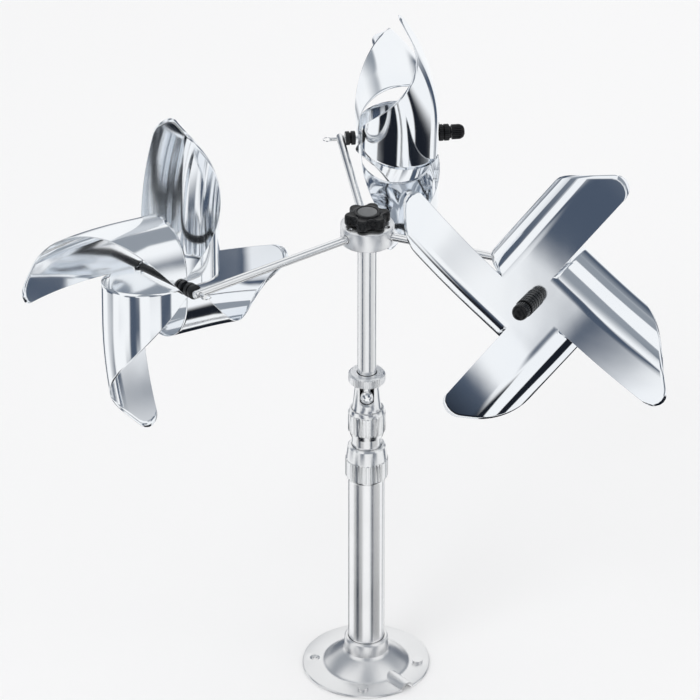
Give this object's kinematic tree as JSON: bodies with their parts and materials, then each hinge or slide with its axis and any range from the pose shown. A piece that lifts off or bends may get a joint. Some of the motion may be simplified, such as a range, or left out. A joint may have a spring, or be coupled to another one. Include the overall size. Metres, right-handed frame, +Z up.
{
  "type": "wind-driven bird repeller",
  "caption": "Deck-mounted spinning bird repeller: telescoping mast with a tilting ball head, a free-turning hub on arms and curled mirror pinwheels that flash in the wind.",
  "frame": {"origin": "centre of the mast's foot, on the deck surface under the flange", "axes": "+Z up along the mast, -Y towards the open slot of the ball cup, +X to the right as seen from the slot's side"},
  "size_m": [0.4102, 0.3895, 0.45],
  "materials": {
    "stainless": "polished stainless steel with fine brushing",
    "satin_aluminium": "satin machined aluminium",
    "ball_chrome": "polished ball",
    "mirror_film": "thin plastic sheet with a mirror face on both sides",
    "black_plastic": "moulded black plastic",
    "grey_plastic": "plain grey inlay",
    "rubber": "moulded rubber"
  },
  "bodies": {
    "base": {"base_flange": "stainless", "mast_tube": "stainless", "tube_end_plug": "rubber", "squeeze_ring": "rubber"},
    "lower_nut": {"lower_lock_nut": "stainless"},
    "extension": {"extension_tube": "stainless"},
    "upper_nut": {"upper_lock_nut": "stainless"},
    "cup": {"ball_cup": "stainless"},
    "head": {"ball_stud": "ball_chrome", "pole": "stainless", "spindle": "stainless", "thrust_washer": "stainless"},
    "ring": {"lock_ring": "satin_aluminium"},
    "knob": {"star_knob": "black_plastic", "knob_disc": "grey_plastic"},
    "rotor": {"rotor_hub": "satin_aluminium", "lower_bearing": "stainless", "upper_bearing": "stainless", "arm_a": "stainless", "arm_b": "stainless", "arm_c": "stainless", "set_screw_a": "stainless", "set_screw_b": "stainless", "set_screw_c": "stainless", "axle_pin_a": "stainless", "axle_pin_b": "stainless", "axle_pin_c": "stainless", "pin_clip_a": "stainless", "pin_clip_b": "stainless", "pin_clip_c": "stainless"},
    "pinwheel_a": {"rear_hub_a": "black_plastic", "sleeve_a": "black_plastic", "blade_sheet_a": "mirror_film", "front_hub_a": "black_plastic", "front_cap_a": "black_plastic"},
    "pinwheel_b": {"rear_hub_b": "black_plastic", "sleeve_b": "black_plastic", "blade_sheet_b": "mirror_film", "front_hub_b": "black_plastic", "front_cap_b": "black_plastic"},
    "pinwheel_c": {"rear_hub_c": "black_plastic", "sleeve_c": "black_plastic", "blade_sheet_c": "mirror_film", "front_hub_c": "black_plastic", "front_cap_c": "black_plastic"}
  },
  "joints": [
    {"name": "lower_nut_turn", "type": "hinge", "parent": "base", "child": "lower_nut", "pos_m": [0, 0, 0.17], "axis": [0, 0, 1], "range_deg": [0, 180]},
    {"name": "mast_extend", "type": "slide", "parent": "base", "child": "extension", "axis": [0, 0, 1], "range_m": [0, 0.07]},
    {"name": "upper_nut_turn", "type": "hinge", "parent": "extension", "child": "upper_nut", "pos_m": [0, 0, 0.2], "axis": [0, 0, 1], "range_deg": [0, 180]},
    {"name": "head_swivel", "type": "hinge", "parent": "extension", "child": "cup", "pos_m": [0, 0, 0.2], "axis": [0, 0, 1], "continuous": true},
    {"name": "head_tilt", "type": "hinge", "parent": "cup", "child": "head", "pos_m": [0, 0, 0.2212], "axis": [1, 0, 0], "range_deg": [0, 90]},
    {"name": "ring_lift", "type": "slide", "parent": "head", "child": "ring", "axis": [0, 0, 1], "range_m": [0, 0.0145]},
    {"name": "rotor_spin", "type": "hinge", "parent": "head", "child": "rotor", "pos_m": [0, 0, 0.3473], "axis": [0, 0, 1], "continuous": true},
    {"name": "knob_turn", "type": "hinge", "parent": "head", "child": "knob", "pos_m": [0, 0, 0.358], "axis": [0, 0, 1], "range_deg": [0, 180]},
    {"name": "pinwheel_a_spin", "type": "hinge", "parent": "rotor", "child": "pinwheel_a", "pos_m": [-0.01825, 0.13679, 0.3473], "axis": [0.9912, 0.1323, 0], "continuous": true},
    {"name": "pinwheel_b_spin", "type": "hinge", "parent": "rotor", "child": "pinwheel_b", "pos_m": [-0.10934, -0.0842, 0.3473], "axis": [-0.6056, 0.7864, -0.1219], "continuous": true},
    {"name": "pinwheel_c_spin", "type": "hinge", "parent": "rotor", "child": "pinwheel_c", "pos_m": [0.12759, -0.05259, 0.3473], "axis": [-0.3774, -0.9155, 0.1392], "continuous": true}
  ],
  "couplings": [
    {"joint": "ring_lift", "follows": "head_tilt", "m_per_rad": 0.009}
  ]
}
